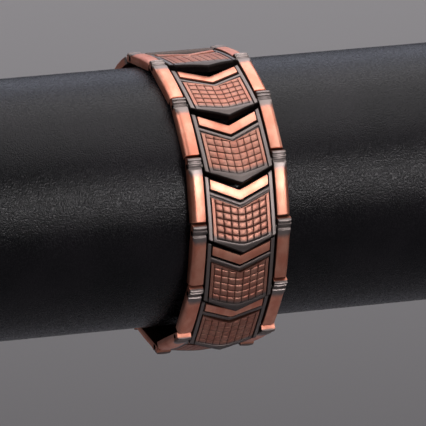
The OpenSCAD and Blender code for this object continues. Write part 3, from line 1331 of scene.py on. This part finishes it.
@dataclass(frozen=True)
class DisplayRoll:
    """The roll, wrapped in leatherette, with its ends turned in round a flat disc."""

    turn_in: float = 1.6 * MM
    turn_steps: int = 8
    disc_inset: float = 3.2 * MM
    disc_depth: float = 0.5 * MM
    fold_run: float = 0.3 * MM
    sides: int = 256
    stretches: int = 60
    crease: float = math.radians(50)

    def outline(self, half: float, radius: float) -> list[tuple[float, float]]:
        """Half the section of the roll, from one end's centre to the other's.

        Args:
            half: Half the roll's length.
            radius: The roll's radius.

        Returns:
            Pairs of a place along the axis and a radius.
        """
        disc, fold = half - self.disc_depth, radius - self.disc_inset
        end = [(disc, 0.0), (disc, radius / 2), (disc, fold - self.fold_run),
               (half - self.disc_depth / 2, fold), (half, fold + self.disc_depth)]
        for step in range(self.turn_steps + 1):
            a = math.radians(90) * step / self.turn_steps
            end.append((half - self.turn_in * (1 - math.cos(a)), radius - self.turn_in * (1 - math.sin(a))))
        shaft = [(half - self.turn_in - (2 * half - 2 * self.turn_in) * k / self.stretches, radius)
                 for k in range(1, self.stretches)]
        other = [(-x, r) for x, r in reversed(end)]
        return end + shaft + other

    def build(self, material: bpy.types.Material) -> bpy.types.Object:
        """Makes the roll by turning its outline round the axis.

        Args:
            material: The cover's finish.

        Returns:
            The roll.
        """
        low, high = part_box("display_roll")
        outline = self.outline((high.x - low.x) / 2, (high.z - low.z) / 2)
        verts, faces = [], []
        for x, r in outline[1:-1]:
            for k in range(self.sides):
                a = 2 * math.pi * k / self.sides
                verts.append((x, r * math.cos(a), r * math.sin(a)))
        rings = len(outline) - 2
        for i in range(rings - 1):
            for k in range(self.sides):
                n = (k + 1) % self.sides
                faces.append((i * self.sides + k, i * self.sides + n,
                              (i + 1) * self.sides + n, (i + 1) * self.sides + k))
        for ring, x in ((0, outline[0][0]), (rings - 1, outline[-1][0])):
            centre = len(verts)
            verts.append((x, 0.0, 0.0))
            faces += [(centre, ring * self.sides + k, ring * self.sides + (k + 1) % self.sides)
                      for k in range(self.sides)]
        mesh = mesh_from("display_roll_wrap", np.array(verts), faces)
        shade_smooth(mesh, self.crease)
        mesh.materials.append(material)
        roll = as_object("display_roll_wrap", mesh)
        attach(roll, "root")
        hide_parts("display_roll")
        return roll


@dataclass(frozen=True)
class PinsAndMagnets:
    """The hinge pins and the magnet discs, which are the frame's own nodes in their finishes."""

    pin: PlainSteel = PlainSteel(Slot.PIN.value, (0.20, 0.17, 0.15), (0.09, 0.08, 0.075), 0.35)
    magnet: PlainSteel = PlainSteel(Slot.MAGNET.value, (0.60, 0.60, 0.61), (0.42, 0.41, 0.40), 0.25)

    def dress(self, nodes: dict[str, bpy.types.Object]) -> list[bpy.types.Object]:
        """Gives the pins and the magnets their finishes.

        Args:
            nodes: The frame's nodes by name.

        Returns:
            The nodes that were dressed.
        """
        finishes = {"pin": self.pin.build(), "magnet": self.magnet.build()}
        dressed = []
        for name, node in nodes.items():
            kind = name.split("_")[0]
            if kind in finishes:
                for slot in node.material_slots:
                    slot.material = finishes[kind]
                dressed.append(node)
        return dressed


# The studio


def toward(azimuth: float, elevation: float) -> Vector:
    """Points from the part to a place at an azimuth and elevation in degrees.

    Args:
        azimuth: From the front toward +X.
        elevation: Above the horizon.

    Returns:
        A vector of length one.
    """
    a, e = math.radians(azimuth), math.radians(elevation)
    return Vector((math.sin(a) * math.cos(e), -math.cos(a) * math.cos(e), math.sin(e)))


@dataclass(frozen=True)
class Softbox:
    """A rectangular soft light, placed round the part.

    Its azimuth, elevation and spread are in degrees, and its radiance is what its face sends
    straight ahead, in watts for each square metre and steradian.
    """

    name: str
    azimuth: float
    elevation: float
    distance: float
    size: tuple[float, float]
    radiance: float
    tint: Colour = (1.0, 0.97, 0.98)
    spread: float = 180.0
    target: tuple[float, float, float] = (0.0, 0.0, 0.0)

    def place(self) -> Vector:
        """Where the light hangs."""
        return toward(self.azimuth, self.elevation) * self.distance

    def power(self) -> float:
        """Works out the watts that give the radiance. A narrower spread gathers them ahead.

        Returns:
            The lamp's power.
        """
        watts = self.radiance * math.pi * self.size[0] * self.size[1]
        half = math.radians(self.spread) / 2
        return watts if self.spread >= 180 else watts * (1 - half / math.tan(half))


@dataclass(frozen=True)
class Studio:
    """The pale floor, the soft lights and the camera.

    The camera's angles are in degrees. The lamps are the four lights for the floor alone.
    """

    floor_height: float = -0.6
    floor_size: float = 40.0
    azimuth: float = -20.2
    elevation: float = 14.68
    distance: float = 1.591
    focal_pixels: float = 6917.5
    aim: tuple[float, float, float] = (5.0 * MM, 0.0, -5.35 * MM)
    sensor: float = 36.0
    clip: tuple[float, float] = (0.05, 60.0)
    air: tuple[float, float, float, float] = (0.62, 0.60, 0.66, 1.0)
    air_strength: float = 0.05
    lamp_elevation: float = 35.0
    lamp_distance: float = 3.6
    lamp_size: float = 1.5
    lamp_spread: float = 120.0

    def camera(self) -> bpy.types.Object:
        """Makes the camera at the photo's angle.

        Returns:
            The camera.
        """
        back = toward(self.azimuth, self.elevation)
        data = bpy.data.cameras.new("camera")
        data.sensor_width = self.sensor
        data.lens = self.focal_pixels / FRAME_PIXELS * self.sensor
        data.clip_start, data.clip_end = self.clip
        made = bpy.data.objects.new("camera", data)
        made.rotation_mode = "QUATERNION"
        made.location = Vector(self.aim) + back * self.distance
        made.rotation_quaternion = (-back).to_track_quat("-Z", "Y")
        bpy.context.scene.collection.objects.link(made)
        bpy.context.scene.camera = made
        return made

    def floor(self) -> bpy.types.Object:
        """Lays the floor below the held part.

        Returns:
            The floor.
        """
        half = self.floor_size / 2
        verts = np.array([(-half, -half, self.floor_height), (half, -half, self.floor_height),
                          (half, half, self.floor_height), (-half, half, self.floor_height)])
        made = as_object("floor", mesh_from("floor", verts, [(0, 1, 2, 3)]))
        made.data.materials.append(PaleGround().build())
        return made

    def softboxes(self) -> list[Softbox]:
        """Lists the key, the fills, and four lamps that face outward and light only the floor.

        Returns:
            The lights, the key first.
        """
        boxes = [
            Softbox("front_right", 20, 15.5, 0.9, (0.36, 0.16), 24.0, spread=50),
            Softbox("overhead", 90, 69, 0.38, (0.53, 0.3), 2.35),
            Softbox("left_fill", -95, 57, 0.55, (0.4, 0.58), 3.2, spread=100),
            Softbox("right_fill", 100, 22, 1.2, (0.4, 0.4), 2.5, spread=60),
            Softbox("back", 170, 31, 1.0, (1.1, 0.72), 1.0, (0.8, 0.84, 1.0)),
        ]
        for name, azimuth, radiance, x, y in (
            ("floor_back", 160, 5.2, 1.2, 3.4),
            ("floor_left", -110, 5.6, -3.4, 1.2),
            ("floor_right", 70, 5.6, 3.4, -1.2),
            ("floor_front", -20, 5.6, -1.2, -3.4),
        ):
            boxes.append(Softbox(name, azimuth, self.lamp_elevation, self.lamp_distance,
                                 (self.lamp_size, self.lamp_size), radiance,
                                 spread=self.lamp_spread, target=(x, y, self.floor_height)))
        return boxes

    def hang(self, box: Softbox) -> None:
        """Hangs a soft light.

        Args:
            box: The light.
        """
        data = bpy.data.lights.new(box.name, "AREA")
        data.shape = "RECTANGLE"
        data.size, data.size_y = box.size
        data.energy = box.power()
        data.color = box.tint
        data.spread = math.radians(box.spread)
        lamp = bpy.data.objects.new(box.name, data)
        lamp.rotation_mode = "QUATERNION"
        lamp.location = box.place()
        lamp.rotation_quaternion = (Vector(box.target) - box.place()).to_track_quat("-Z", "Y")
        bpy.context.scene.collection.objects.link(lamp)

    def lights(self) -> None:
        """Sets the world's light and the softboxes."""
        world = bpy.data.worlds.new("studio")
        world.use_nodes = True
        world.node_tree.nodes["Background"].inputs["Color"].default_value = self.air
        world.node_tree.nodes["Background"].inputs["Strength"].default_value = self.air_strength
        bpy.context.scene.world = world
        bpy.context.scene.view_settings.view_transform = "Standard"
        for box in self.softboxes():
            self.hang(box)


def main() -> None:
    """Builds the bracelet and the roll in order and reports each piece."""
    logging.basicConfig(level=logging.INFO, format="%(message)s")
    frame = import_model()
    for node in PinsAndMagnets().dress(frame["nodes"]):
        log.info("%s: %d faces", node.name, len(node.data.polygons))
    copper = AntiqueCopper().build()
    chain = Chain()
    for link in chain.build(copper):
        log.info("%s: %d faces", link.name, len(link.data.polygons))
    clasp = Clasp().build(chain, copper)
    log.info("%s: %d faces", clasp.name, len(clasp.data.polygons))
    roll = DisplayRoll().build(Leatherette().build())
    log.info("%s: %d faces", roll.name, len(roll.data.polygons))
    studio = Studio()
    studio.floor()
    studio.lights()
    studio.camera()


if __name__ == "__main__":
    main()
